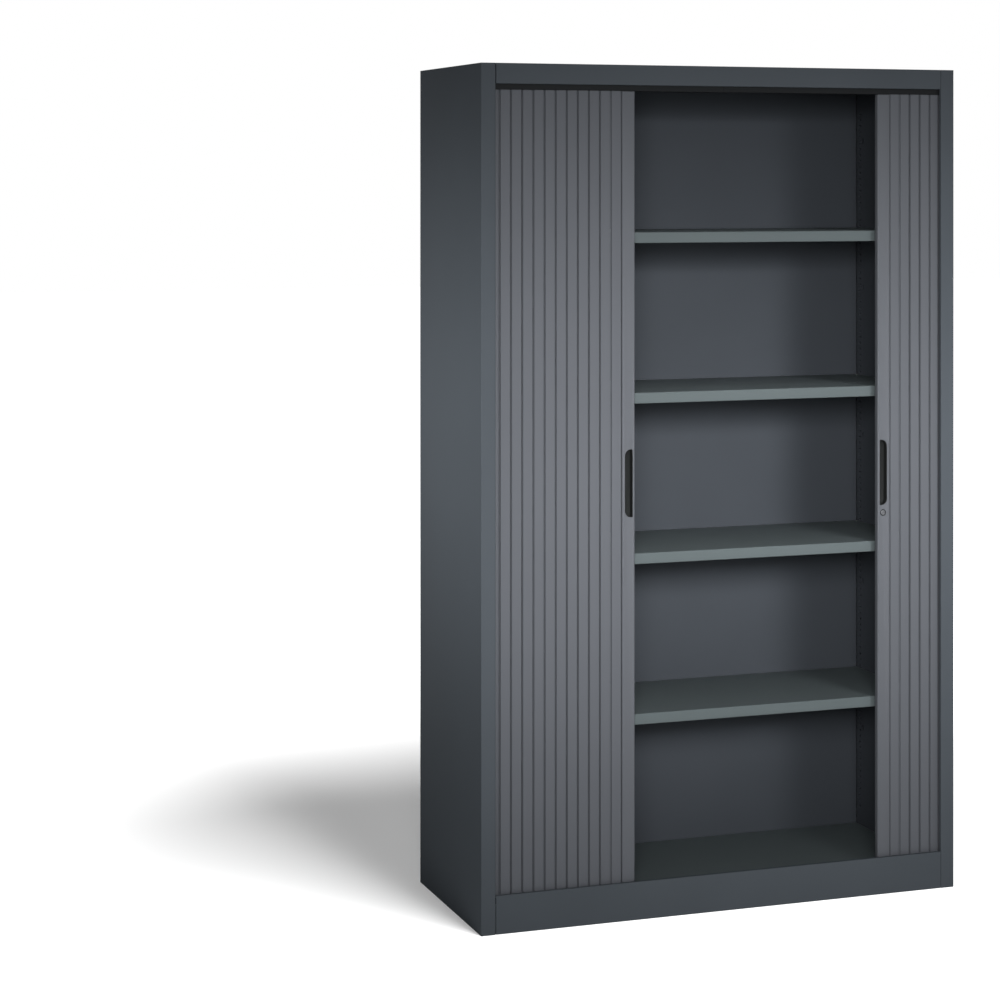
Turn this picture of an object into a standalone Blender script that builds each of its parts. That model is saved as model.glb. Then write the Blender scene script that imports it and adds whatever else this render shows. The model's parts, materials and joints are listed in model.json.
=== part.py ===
# Tambour door cabinet: folded steel body, two slatted curtains in curved tracks,
# four lift-out shelves. Metres, +Z up, origin on the floor under the middle.
# Seen from the front, +X is to the right and +Y runs towards the back.

import math

import bmesh
import bpy
from mathutils import Matrix, Vector

# Overall size
WIDTH = 1.200
DEPTH = 0.430
HEIGHT = 1.950
SHEET = 0.0012
SEAT_GAP = 0.0003
SEAM = 0.0013

# Side panels, each with its front post
POST_WIDTH = 0.0345
POST_LIP = 0.0080
REAR_FOLD = 0.0220
REAR_LIP = 0.0060

# Front rail, plinth, floor tray and ceiling tray
RAIL_HEIGHT = 0.046
PLINTH_HEIGHT = 0.087
PLINTH_FOOT = 0.018
PLINTH_TOP_FOLD = 0.007
FLOOR_DROP = 0.021
TRAY_FRONT = 0.0085
TRAY_RETURN = 0.012
CEILING_FRONT = 0.0300
TOP_RIB = 0.020
TOP_RIB_INSET = 0.040

# Curtain track, measured from the outside of the cabinet
TRACK_INSET = 0.0145
BEND_RADIUS = 0.0320
TRACK_OUTER = 0.0060
TRACK_INNER = 0.0093
GROOVE_OUTER = 0.0051
GROOVE_INNER = 0.0045
GROOVE_WIDENING = 0.0034
TRACK_HEIGHT = 0.0130
TRACK_SOLE = 0.0020
BACK_RUN = 0.130
BEND_STEPS = 8
TAPER_STEPS = 3

# Slatted curtains
SLAT_PITCH = 0.0270
SLAT_COUNT = 20
SLAT_OUTER = 0.0038
SLAT_CROWN = 0.0008
SLAT_INNER = 0.0032
SLAT_EDGE = 0.0012
SLAT_INNER_EDGE = 0.0024
SLAT_HINGE = 0.0016

# Leading rails with their grips and guide shoes
LEAD_WIDTH = 0.0315
LEAD_DEPTH = 0.0150
LEAD_FRONT = 0.0088
LEAD_WALL = 0.0015
LEAD_CORNER = 0.0030
LEAD_END_GAP = 0.0010
LEFT_EDGE = 0.3765
RIGHT_EDGE = 0.1994
SHOE_WIDTH = 0.0240
SHOE_PLUG = 0.0180
GRIP_WIDTH = 0.0190
GRIP_LENGTH = 0.1550
GRIP_LEVEL = 0.9955
GRIP_DEPTH = 0.0129
GRIP_WALL = 0.0012
GRIP_EDGE = 0.0055
GRIP_CORNER = 0.0150
GRIP_SMALL_CORNER = 0.0030
CORNER_STEPS = 6

# Lock in the right leading rail and its keeper on the left one
LOCK_LEVEL = 0.9005
LOCK_EDGE = 0.0140
LOCK_RADIUS = 0.0062
LOCK_PROUD = 0.0006
LOCK_BARREL = 0.0040
LOCK_HOLE_GAP = 0.0003
KEYWAY_WIDTH = 0.0012
KEYWAY_LENGTH = 0.0070
KEYWAY_DEPTH = 0.0050
CAM_THICKNESS = 0.0022
CAM_WIDTH = 0.0110
CAM_REACH = 0.0330
CAM_RUNNING_GAP = 0.0025
HOOK_REACH = 0.0100
HOOK_START = 0.0205
KEEPER_EDGE = 0.0020
KEEPER_FOOT = 0.0190
KEEPER_LEG = 0.0058
KEEPER_RISE = 0.0060
KEEPER_LENGTH = 0.0180
ROUND_STEPS = 32

# Inner walls and the slots punched in them
LINER_INSET = 0.0620
LINER_FRONT = 0.0310
LINER_FRONT_FOLD = 0.0170
LINER_REAR_FOLD = 0.0180
REAR_CHANNEL = 0.0720
SLOT_PITCH = 0.01475
SLOT_WIDTH = 0.0080
SLOT_HEIGHT = 0.0045
SLOT_MARGIN = 0.0400
REAR_SLOT_INSET = 0.0170
FRONT_SLOT_INSET = 0.0430
FRONT_SLOT_STEP = 5
HANGER_SLOT_WIDTH = 0.0060
HANGER_SLOT_HEIGHT = 0.0120
HANGER_SLOT_INSET = 0.0310
HANGER_SLOT_DROP = 0.1500

# Shelves and their clips
SHELF_COUNT = 4
LOWEST_SPACE_EXTRA = 0.0264
SHELF_FRONT = 0.0350
SHELF_REAR_GAP = 0.0030
SHELF_FOLD = 0.0250
SHELF_RETURN = 0.0120
SHELF_SIDE_GAP = 0.0035
CLIP_PLATE = 0.0020
CLIP_REACH = 0.0160
CLIP_DROP = 0.0210
CLIP_LENGTH = 0.0180
CLIP_HOOK_DROP = 0.0085
CLIP_HOOK_TOOTH = 0.0030
CLIP_HOOK_WALL = 0.0015

# Levelling feet
FOOT_RADIUS = 0.0160
FOOT_HEIGHT = 0.0070
FOOT_STEM = 0.0050
FOOT_INSET_X = 0.0900
FOOT_INSET_Y = 0.0600

OVERRUN = 0.0050
MERGE = 0.00001
DRAWING_SCALE = 1000
DRAWING_TURN = 21.3

for old in list(bpy.context.scene.objects):
    bpy.data.objects.remove(old, do_unlink=True)

cabinet = bpy.data.collections.new("tambour_cabinet")
cutters = bpy.data.collections.new("cutters")
bpy.context.scene.collection.children.link(cabinet)
bpy.context.scene.collection.children.link(cutters)


def paint(name, colour, roughness, metallic):
    """A Principled material in one colour."""
    material = bpy.data.materials.new(name)
    material.use_nodes = True
    shader = material.node_tree.nodes["Principled BSDF"]
    shader.inputs["Base Color"].default_value = (*colour, 1)
    shader.inputs["Roughness"].default_value = roughness
    shader.inputs["Metallic"].default_value = metallic
    return material


body_grey = (0.055, 0.060, 0.067)
inside_grey = (0.045, 0.052, 0.056)
slat_grey = (0.105, 0.108, 0.122)
black_plastic = (0.012, 0.013, 0.014)
zinc = (0.45, 0.46, 0.47)


def x_of(side, inset):
    """World X of a plane at the given distance inside one flank, side -1 left or +1 right."""
    return side * (WIDTH / 2 - inset)


def y_of(inset):
    """World Y of a plane at the given distance behind the front."""
    return inset - DEPTH / 2


def add(name, mesh, material, parent=None):
    """Put a mesh into the cabinet as a named piece."""
    piece = bpy.data.objects.new(name, mesh)
    mesh.materials.clear()
    mesh.materials.append(material)
    cabinet.objects.link(piece)
    if parent is not None:
        piece.parent = parent
        piece.matrix_parent_inverse = parent.matrix_world.inverted()
    return piece


def cutter(name, mesh):
    """A hidden body that a Boolean takes away."""
    tool = bpy.data.objects.new(name, mesh)
    cutters.objects.link(tool)
    tool.hide_render = True
    tool.display_type = "WIRE"
    return tool


def cut(piece, tool, operation="DIFFERENCE"):
    """Boolean one body out of, or onto, a piece."""
    change = piece.modifiers.new(tool.name, "BOOLEAN")
    change.operation = operation
    change.solver = "EXACT"
    change.object = tool
    return change


def box_mesh(name, low, high):
    """A box between two corners."""
    low = Vector(low)
    high = Vector(high)
    shape = bmesh.new()
    bmesh.ops.create_cube(shape, size=1.0)
    middle = Matrix.Translation((low + high) / 2)
    scale = Matrix.Diagonal((high - low).to_4d())
    scale[3][3] = 1.0
    bmesh.ops.transform(shape, matrix=middle @ scale, verts=shape.verts)
    mesh = bpy.data.meshes.new(name)
    shape.to_mesh(mesh)
    shape.free()
    return mesh


def folded_sheet(name, profile, plane, start, length, material, parent=None, thickness=SHEET):
    """A strip of folded sheet: a profile in one plane, drawn out across that plane.

    The sheet's outer face looks along the profile's direction crossed with the direction
    that it is drawn out in, and the thickness goes to the other side.
    """
    spread = {
        "plan": (lambda a, b: Vector((a, b, start)), Vector((0, 0, length))),
        "side": (lambda a, b: Vector((start, a, b)), Vector((length, 0, 0))),
        "front": (lambda a, b: Vector((a, start, b)), Vector((0, length, 0))),
    }
    place, draw = spread[plane]
    shape = bmesh.new()
    corners = [shape.verts.new(place(a, b)) for a, b in profile]
    edges = [shape.edges.new(pair) for pair in zip(corners, corners[1:])]
    drawn = bmesh.ops.extrude_edge_only(shape, edges=edges)["geom"]
    moved = [item for item in drawn if isinstance(item, bmesh.types.BMVert)]
    bmesh.ops.translate(shape, vec=draw, verts=moved)
    shape.normal_update()
    first = edges[0].link_faces[0]
    along = place(*profile[1]) - place(*profile[0])
    if first.normal.dot(along.cross(draw)) < 0:
        bmesh.ops.reverse_faces(shape, faces=shape.faces)
    mesh = bpy.data.meshes.new(name)
    shape.to_mesh(mesh)
    shape.free()
    piece = add(name, mesh, material, parent)
    wall = piece.modifiers.new("sheet", "SOLIDIFY")
    wall.thickness = thickness
    wall.offset = -1.0
    wall.use_even_offset = True
    return piece


def outline_mesh(name, loops, thickness, place):
    """A flat outline, with any holes, given a thickness and stood where place says.

    The outline is drawn enlarged and turned, because filling a curve goes wrong where
    points lie close together or many of them share one height.
    """
    drawn = Matrix.Rotation(math.radians(DRAWING_TURN), 4, "Z") @ Matrix.Scale(DRAWING_SCALE, 4)
    drawing = bpy.data.curves.new(name, "CURVE")
    drawing.dimensions = "2D"
    drawing.fill_mode = "BOTH"
    drawing.extrude = thickness / 2 * DRAWING_SCALE
    for loop in loops:
        line = drawing.splines.new("POLY")
        line.points.add(len(loop) - 1)
        for point, (a, b) in zip(line.points, loop):
            point.co = drawn @ Vector((a, b, 0, 1))
        line.use_cyclic_u = True
    guide = bpy.data.objects.new(name + "_outline", drawing)
    bpy.context.scene.collection.objects.link(guide)
    bpy.context.view_layer.update()
    evaluated = guide.evaluated_get(bpy.context.evaluated_depsgraph_get())
    mesh = bpy.data.meshes.new_from_object(evaluated)
    bpy.data.objects.remove(guide, do_unlink=True)
    shape = bmesh.new()
    shape.from_mesh(mesh)
    bmesh.ops.transform(shape, matrix=drawn.inverted(), verts=shape.verts)
    bmesh.ops.remove_doubles(shape, verts=shape.verts, dist=MERGE)
    bmesh.ops.transform(shape, matrix=place, verts=shape.verts)
    bmesh.ops.recalc_face_normals(shape, faces=shape.faces)
    shape.to_mesh(mesh)
    shape.free()
    mesh.name = name
    return mesh


def arc(centre, radius, start, end, steps):
    """Points on a round stretch, from one angle to another, in degrees."""
    turn = [start + (end - start) * step / steps for step in range(steps + 1)]
    return [
        (centre[0] + radius * math.cos(math.radians(a)), centre[1] + radius * math.sin(math.radians(a)))
        for a in turn
    ]


def rounded_box(low, high, radii):
    """A rectangle with its own radius at each corner: low-low, high-low, high-high, low-high."""
    corners = (
        ((low[0], low[1]), (1, 1), 180),
        ((high[0], low[1]), (-1, 1), 270),
        ((high[0], high[1]), (-1, -1), 0),
        ((low[0], high[1]), (1, -1), 90),
    )
    points = []
    for (corner, inward, start), radius in zip(corners, radii):
        centre = (corner[0] + inward[0] * radius, corner[1] + inward[1] * radius)
        points += arc(centre, radius, start, start + 90, CORNER_STEPS)
    return points


UPRIGHT = Matrix.Rotation(math.radians(90), 4, "X")


def turned_piece(name, profile, material):
    """A piece turned on Z, from a profile of radii and heights that runs down its outer side."""
    shape = bmesh.new()
    points = [shape.verts.new((radius, 0, height)) for radius, height in profile]
    for pair in zip(points, points[1:]):
        shape.edges.new(pair)
    mesh = bpy.data.meshes.new(name)
    shape.to_mesh(mesh)
    shape.free()
    piece = add(name, mesh, material)
    turn = piece.modifiers.new("turn", "SCREW")
    turn.steps = ROUND_STEPS
    turn.render_steps = ROUND_STEPS
    turn.use_merge_vertices = True
    turn.merge_threshold = MERGE
    return piece


def round_bar(name, radius, low, high):
    """A plain round bar along Z."""
    shape = bmesh.new()
    bmesh.ops.create_cone(
        shape,
        cap_ends=True,
        segments=ROUND_STEPS,
        radius1=radius,
        radius2=radius,
        depth=high - low,
        matrix=Matrix.Translation((0, 0, (low + high) / 2)),
    )
    mesh = bpy.data.meshes.new(name)
    shape.to_mesh(mesh)
    shape.free()
    return mesh


# Side panels, each one sheet folded round the front post and the rear edge
def side_panel(name, side):
    profile = [
        (x_of(side, REAR_FOLD), y_of(DEPTH - REAR_LIP)),
        (x_of(side, REAR_FOLD), y_of(DEPTH)),
        (x_of(side, 0), y_of(DEPTH)),
        (x_of(side, 0), y_of(0)),
        (x_of(side, POST_WIDTH), y_of(0)),
        (x_of(side, POST_WIDTH), y_of(POST_LIP)),
    ]
    if side > 0:
        profile.reverse()
    return folded_sheet(name, profile, "plan", 0, HEIGHT, paint(name, body_grey, 0.45, 0.0))


side_panel("left_side_panel", -1)
side_panel("right_side_panel", 1)

between_posts = POST_WIDTH + SEAM
inside_flank = SHEET + SEAT_GAP
rail_bottom = HEIGHT - RAIL_HEIGHT


# Front rail between the posts, an angle whose lower leg carries the upper tracks
folded_sheet(
    "top_rail",
    [
        (y_of(0), HEIGHT),
        (y_of(0), rail_bottom),
        (y_of(CEILING_FRONT - SEAT_GAP), rail_bottom),
    ],
    "side",
    x_of(-1, between_posts),
    WIDTH - 2 * between_posts,
    paint("top_rail", body_grey, 0.45, 0.0),
)

# Plinth between the posts, standing on its foot flange
folded_sheet(
    "plinth",
    [
        (y_of(PLINTH_TOP_FOLD), PLINTH_HEIGHT),
        (y_of(0), PLINTH_HEIGHT),
        (y_of(0), 0),
        (y_of(PLINTH_FOOT), 0),
    ],
    "side",
    x_of(-1, between_posts),
    WIDTH - 2 * between_posts,
    paint("plinth", body_grey, 0.45, 0.0),
)


# Top panel, slotted for the lips of the side panels, with two ribs folded down under it
def top_panel():
    edge = inside_flank
    low = (x_of(-1, edge), y_of(edge), HEIGHT - SHEET)
    high = (x_of(1, edge), y_of(DEPTH - edge), HEIGHT)
    piece = add("top_panel", box_mesh("top_panel", low, high), paint("top_panel", body_grey, 0.45, 0.0))
    slots = (
        ("front_slot", POST_WIDTH, -OVERRUN, POST_LIP + SEAT_GAP),
        ("rear_slot", REAR_FOLD, DEPTH - REAR_LIP - SEAT_GAP, DEPTH + OVERRUN),
    )
    for side in (-1, 1):
        for name, fold, front, rear in slots:
            left, right = sorted((x_of(side, fold + SEAT_GAP), x_of(side, fold - inside_flank)))
            low = (left, y_of(front), HEIGHT - SHEET - OVERRUN)
            high = (right, y_of(rear), HEIGHT + OVERRUN)
            cut(piece, cutter(name, box_mesh(name, low, high)))
    clear = POST_WIDTH + SEAT_GAP
    for name, inset in (("front_rib", TOP_RIB_INSET), ("rear_rib", DEPTH - TOP_RIB_INSET)):
        low = (x_of(-1, clear), y_of(inset), HEIGHT - TOP_RIB)
        high = (x_of(1, clear), y_of(inset + SHEET), HEIGHT - SHEET / 2)
        cut(piece, cutter(name, box_mesh(name, low, high)), "UNION")
    return piece


top_panel()

tray_rear = DEPTH - REAR_LIP - SEAT_GAP
floor_level = PLINTH_HEIGHT - FLOOR_DROP

# Ceiling tray, which carries the upper tracks and the tops of the inner walls
folded_sheet(
    "ceiling_panel",
    [
        (y_of(CEILING_FRONT), HEIGHT - SHEET - SEAT_GAP),
        (y_of(CEILING_FRONT), rail_bottom),
        (y_of(tray_rear), rail_bottom),
        (y_of(tray_rear), HEIGHT - SHEET - SEAT_GAP),
    ],
    "side",
    x_of(-1, inside_flank),
    WIDTH - 2 * inside_flank,
    paint("ceiling_panel", inside_grey, 0.5, 0.0),
)

# Floor tray, folded down at the front and the back, its front fold resting on the plinth's foot
tray_bottom = SHEET + SEAT_GAP
folded_sheet(
    "floor_panel",
    [
        (y_of(tray_rear - TRAY_RETURN), tray_bottom),
        (y_of(tray_rear), tray_bottom),
        (y_of(tray_rear), floor_level),
        (y_of(TRAY_FRONT), floor_level),
        (y_of(TRAY_FRONT), tray_bottom),
        (y_of(TRAY_FRONT + TRAY_RETURN), tray_bottom),
    ],
    "side",
    x_of(-1, inside_flank),
    WIDTH - 2 * inside_flank,
    paint("floor_panel", inside_grey, 0.5, 0.0),
)

# Outer back, between the rear folds of the side panels
back_low = (x_of(-1, REAR_FOLD + SEAT_GAP), y_of(DEPTH - SHEET), 0)
back_high = (x_of(1, REAR_FOLD + SEAT_GAP), y_of(DEPTH), HEIGHT)
add("back_panel", box_mesh("back_panel", back_low, back_high), paint("back_panel", body_grey, 0.5, 0.0))

wall_bottom = floor_level + SEAT_GAP
wall_top = rail_bottom - SEAT_GAP
wall_height = wall_top - wall_bottom
inner_back_depth = DEPTH - REAR_CHANNEL

slots_per_shelf = round(wall_height / (SHELF_COUNT + 1) / SLOT_PITCH)
shelf_spacing = slots_per_shelf * SLOT_PITCH
first_shelf = wall_bottom + shelf_spacing + LOWEST_SPACE_EXTRA
shelf_levels = [first_shelf + number * shelf_spacing for number in range(SHELF_COUNT)]
clip_drop = SHEET + SEAT_GAP
first_hook = first_shelf - clip_drop - CLIP_HOOK_DROP
front_slot_depth = LINER_FRONT + FRONT_SLOT_INSET
rear_slot_depth = inner_back_depth - REAR_SLOT_INSET
hanger_slot_depth = inner_back_depth - HANGER_SLOT_INSET


def slot_run(step):
    """Lowest level, pitch and count of a column that uses every step-th slot level."""
    pitch = SLOT_PITCH * step
    below = int((first_hook - wall_bottom - SLOT_MARGIN) / pitch)
    above = int((wall_top - SLOT_MARGIN - first_hook) / pitch)
    return first_hook - below * pitch, pitch, below + 1 + above


def punch(wall, side, title, depth, width, height, column):
    """Punch one column of slots through an inner side wall."""
    lowest, pitch, count = column
    left, right = sorted((x_of(side, LINER_INSET + OVERRUN), x_of(side, LINER_INSET - SHEET - OVERRUN)))
    low = (left, y_of(depth - width / 2), lowest - height / 2)
    high = (right, y_of(depth + width / 2), lowest + height / 2)
    name = f"{wall.name}_{title}"
    tool = cutter(name, box_mesh(name, low, high))
    copies = tool.modifiers.new("column", "ARRAY")
    copies.use_relative_offset = False
    copies.use_constant_offset = True
    copies.constant_offset_displace = (0, 0, pitch)
    copies.count = count
    cut(wall, tool)


# Inner side walls, between the curtain channel and the shelves, punched for the shelf clips
# near both edges and with taller slots that hanging frames hook into
def liner(name, side):
    profile = [
        (x_of(side, LINER_INSET - LINER_FRONT_FOLD), y_of(LINER_FRONT)),
        (x_of(side, LINER_INSET), y_of(LINER_FRONT)),
        (x_of(side, LINER_INSET), y_of(inner_back_depth + SHEET)),
        (x_of(side, LINER_INSET - LINER_REAR_FOLD), y_of(inner_back_depth + SHEET)),
    ]
    if side > 0:
        profile.reverse()
    material = paint(name, inside_grey, 0.5, 0.0)
    wall = folded_sheet(name, profile, "plan", wall_bottom, wall_height, material)
    punch(wall, side, "front_slots", front_slot_depth, SLOT_WIDTH, SLOT_HEIGHT, slot_run(FRONT_SLOT_STEP))
    punch(wall, side, "rear_slots", rear_slot_depth, SLOT_WIDTH, SLOT_HEIGHT, slot_run(1))
    hangers = (first_shelf - HANGER_SLOT_DROP, shelf_spacing, SHELF_COUNT + 1)
    size = (HANGER_SLOT_WIDTH, HANGER_SLOT_HEIGHT)
    punch(wall, side, "hanger_slots", hanger_slot_depth, *size, hangers)
    return wall


liner("left_liner", -1)
liner("right_liner", 1)

# Inner back, a shallow pan whose flanges lie beside the inner side walls
inner_back_edge = LINER_INSET + SEAT_GAP
folded_sheet(
    "inner_back",
    [
        (x_of(-1, inner_back_edge), y_of(inner_back_depth + LINER_REAR_FOLD)),
        (x_of(-1, inner_back_edge), y_of(inner_back_depth)),
        (x_of(1, inner_back_edge), y_of(inner_back_depth)),
        (x_of(1, inner_back_edge), y_of(inner_back_depth + LINER_REAR_FOLD)),
    ],
    "plan",
    wall_bottom,
    wall_height,
    paint("inner_back", inside_grey, 0.5, 0.0),
)


# Shelves, pans folded down at the front and the back
shelf_edge = LINER_INSET + SHELF_SIDE_GAP
shelf_rear = inner_back_depth - SHELF_REAR_GAP


def shelf(name, level):
    profile = [
        (y_of(shelf_rear - SHELF_RETURN), level - SHELF_FOLD),
        (y_of(shelf_rear), level - SHELF_FOLD),
        (y_of(shelf_rear), level),
        (y_of(SHELF_FRONT), level),
        (y_of(SHELF_FRONT), level - SHELF_FOLD),
        (y_of(SHELF_FRONT + SHELF_RETURN), level - SHELF_FOLD),
    ]
    length = WIDTH - 2 * shelf_edge
    material = paint(name, inside_grey, 0.4, 0.0)
    return folded_sheet(name, profile, "side", x_of(-1, shelf_edge), length, material)


# Shelf clips, angles under each corner with a hook that goes through a slot of the inner wall
def shelf_clip(name, side, depth, level):
    top = level - clip_drop
    profile = [
        (x_of(side, LINER_INSET + SEAT_GAP), top - CLIP_DROP),
        (x_of(side, LINER_INSET + SEAT_GAP), top),
        (x_of(side, LINER_INSET + SEAT_GAP + CLIP_REACH), top),
    ]
    if side > 0:
        profile.reverse()
    material = paint(name, zinc, 0.35, 0.9)
    start = y_of(depth - CLIP_LENGTH / 2)
    piece = folded_sheet(name, profile, "front", start, CLIP_LENGTH, material, thickness=CLIP_PLATE)
    near = x_of(side, LINER_INSET + SEAT_GAP + CLIP_PLATE / 2)
    back = x_of(side, LINER_INSET - SHEET - SEAT_GAP)
    far = x_of(side, LINER_INSET - SHEET - SEAT_GAP - CLIP_HOOK_WALL)
    middle = top - CLIP_HOOK_DROP
    half = SLOT_HEIGHT / 2 - SEAT_GAP
    tip = middle - half - CLIP_HOOK_TOOTH
    hook = [
        (near, middle + half),
        (far, middle + half),
        (far, tip),
        (back, tip),
        (back, middle - half),
        (near, middle - half),
    ]
    place = Matrix.Translation((0, y_of(depth), 0)) @ UPRIGHT
    width = SLOT_WIDTH - 2 * SEAT_GAP
    cut(piece, cutter(name + "_hook", outline_mesh(name + "_hook", [hook], width, place)), "UNION")
    return piece


for number, level in enumerate(shelf_levels, 1):
    shelf(f"shelf_{number}", level)
    for side, side_word in ((-1, "left"), (1, "right")):
        shelf_clip(f"shelf_{number}_clip_front_{side_word}", side, front_slot_depth, level)
        shelf_clip(f"shelf_{number}_clip_rear_{side_word}", side, rear_slot_depth, level)


# Levelling feet, threaded glides under the floor tray
def levelling_foot(name, x, y):
    profile = (
        (0, floor_level - SHEET - SEAT_GAP),
        (FOOT_STEM, floor_level - SHEET - SEAT_GAP),
        (FOOT_STEM, FOOT_HEIGHT),
        (FOOT_RADIUS, FOOT_HEIGHT / 2),
        (FOOT_RADIUS, 0),
        (0, 0),
    )
    piece = turned_piece(name, profile, paint(name, black_plastic, 0.6, 0.0))
    piece.location = (x, y, 0)
    return piece


for side, side_word in ((-1, "left"), (1, "right")):
    for end, inset in (("front", FOOT_INSET_Y), ("rear", DEPTH - FOOT_INSET_Y)):
        levelling_foot(f"levelling_foot_{end}_{side_word}", x_of(side, FOOT_INSET_X), y_of(inset))


# Path of a curtain: distance is 0 where the front run meets the first bend, negative
# along the front and positive round the bend, along the flank and along the back.
bend_start = TRACK_INSET + BEND_RADIUS
bend_length = BEND_RADIUS * math.pi / 2
flank_length = DEPTH - 2 * bend_start


def path(distance):
    """Plan position (inset from the flank, inset from the front) and outward normal."""
    if distance <= 0:
        return (bend_start - distance, TRACK_INSET), (0, -1)
    if distance < bend_length:
        turn = distance / BEND_RADIUS
        normal = (-math.sin(turn), -math.cos(turn))
        centre = (bend_start, bend_start)
        return tuple(c + BEND_RADIUS * n for c, n in zip(centre, normal)), normal
    distance -= bend_length
    if distance <= flank_length:
        return (TRACK_INSET, bend_start + distance), (-1, 0)
    distance -= flank_length
    if distance < bend_length:
        turn = distance / BEND_RADIUS
        normal = (-math.cos(turn), math.sin(turn))
        centre = (bend_start, DEPTH - bend_start)
        return tuple(c + BEND_RADIUS * n for c, n in zip(centre, normal)), normal
    distance -= bend_length
    return (bend_start + distance, DEPTH - TRACK_INSET), (0, 1)


def offset_point(side, distance, offset):
    """World plan point beside the path; a positive offset is towards the outside."""
    (across, back), normal = path(distance)
    return (x_of(side, across + offset * normal[0]), y_of(back + offset * normal[1]))


rear_bend = bend_length + flank_length
path_end = rear_bend + bend_length + BACK_RUN


def widening(distance):
    """How far the groove is opened inwards, full on the bends and nothing on the straights."""
    nearest = min(
        max(start - distance, distance - start - bend_length, 0) for start in (0, rear_bend)
    )
    return GROOVE_WIDENING * max(0, 1 - nearest / SLAT_PITCH)


def track_stations(first):
    """Distances along the path where the track's outline has a point."""
    stations = {first, path_end}
    for start in (0, rear_bend):
        for step in range(BEND_STEPS + 1):
            stations.add(start + bend_length * step / BEND_STEPS)
        for step in range(1, TAPER_STEPS + 1):
            away = SLAT_PITCH * step / TAPER_STEPS
            stations.add(start - away)
            stations.add(start + bend_length + away)
    return sorted(stations)


def band(side, first, last, outer, inner, widen):
    """Closed outline of a band beside the path."""
    inside = [first] + [d for d in track_stations(first) if first < d < last] + [last]
    outer_line = [offset_point(side, d, outer) for d in inside]
    inner_line = [offset_point(side, d, -inner - (widening(d) if widen else 0)) for d in inside]
    return outer_line + inner_line[::-1]


# Curtain tracks, bent strips with a groove that the slats' ends run in
def track(name, side, low, groove_low):
    first = bend_start - WIDTH / 2 + SEAT_GAP
    outline = band(side, first, path_end, TRACK_OUTER, TRACK_INNER, False)
    middle = Matrix.Translation((0, 0, low + TRACK_HEIGHT / 2))
    piece = add(
        name,
        outline_mesh(name, [outline], TRACK_HEIGHT, middle),
        paint(name, black_plastic, 0.55, 0.0),
    )
    groove = band(side, first - OVERRUN, path_end - TRACK_SOLE, GROOVE_OUTER, GROOVE_INNER, True)
    groove_height = TRACK_HEIGHT - TRACK_SOLE + OVERRUN
    middle = Matrix.Translation((0, 0, groove_low + groove_height / 2))
    cut(piece, cutter(name + "_groove", outline_mesh(name + "_groove", [groove], groove_height, middle)))
    return piece


lower_track = floor_level + SEAT_GAP
upper_track = rail_bottom - SEAT_GAP - TRACK_HEIGHT
for side, side_word in ((-1, "left"), (1, "right")):
    track(f"lower_track_{side_word}", side, lower_track, lower_track + TRACK_SOLE)
    track(f"upper_track_{side_word}", side, upper_track, upper_track - OVERRUN)

slat_bottom = lower_track + TRACK_SOLE + SEAT_GAP
slat_top = upper_track + TRACK_HEIGHT - TRACK_SOLE - SEAT_GAP


# Curtains: slats on film hinges, drawn as one outline along the path
def curtain(name, side, edge, carriage):
    start = bend_start - (edge - LEAD_WIDTH - SEAT_GAP)
    joints = [start + SLAT_PITCH * slat for slat in range(SLAT_COUNT + 1)]
    knots = [Vector(offset_point(side, distance, 0)) for distance in joints]
    outer_line = []
    inner_line = []
    for number, (here, there) in enumerate(zip(knots, knots[1:])):
        along = (there - here).normalized()
        out = Vector((along.y, -along.x)) * side
        if number:
            before = (here - knots[number - 1]).normalized()
            bisector = (out + Vector((before.y, -before.x)) * side).normalized()
            outer_line.append(here + bisector * SLAT_HINGE / 2)
            inner_line.append(here - bisector * SLAT_HINGE / 2)
        middle = (here + there) / 2
        outer_line.append(here + along * SLAT_EDGE + out * SLAT_OUTER)
        outer_line.append(middle + out * (SLAT_OUTER + SLAT_CROWN))
        outer_line.append(there - along * SLAT_EDGE + out * SLAT_OUTER)
        inner_line.append(here + along * SLAT_INNER_EDGE - out * SLAT_INNER)
        inner_line.append(there - along * SLAT_INNER_EDGE - out * SLAT_INNER)
    outline = [tuple(point) for point in outer_line + inner_line[::-1]]
    height = slat_top - slat_bottom
    middle = Matrix.Translation((0, 0, (slat_top + slat_bottom) / 2))
    mesh = outline_mesh(name, [outline], height, middle)
    return add(name, mesh, paint(name, slat_grey, 0.45, 0.0), carriage)


def carriage_at(name, side, edge):
    """The empty that carries one door, at the middle of its leading rail."""
    empty = bpy.data.objects.new(name, None)
    empty.location = (x_of(side, edge - LEAD_WIDTH / 2), y_of(LEAD_FRONT + LEAD_DEPTH / 2), GRIP_LEVEL)
    cabinet.objects.link(empty)
    bpy.context.view_layer.update()
    return empty


lead_bottom = lower_track + TRACK_HEIGHT + LEAD_END_GAP
lead_top = upper_track - LEAD_END_GAP


def grip_outline(side, edge, spread):
    """The grip's D shape seen from the front, rounded on the side away from the edge."""
    near = edge - GRIP_EDGE + spread
    far = edge - GRIP_EDGE - GRIP_WIDTH - spread
    left, right = sorted((x_of(side, near), x_of(side, far)))
    low = GRIP_LEVEL - GRIP_LENGTH / 2 - spread
    high = GRIP_LEVEL + GRIP_LENGTH / 2 + spread
    big = GRIP_CORNER + spread
    small = GRIP_SMALL_CORNER + spread
    radii = (big, small, small, big) if side < 0 else (small, big, big, small)
    return rounded_box((left, low), (right, high), radii)


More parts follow.
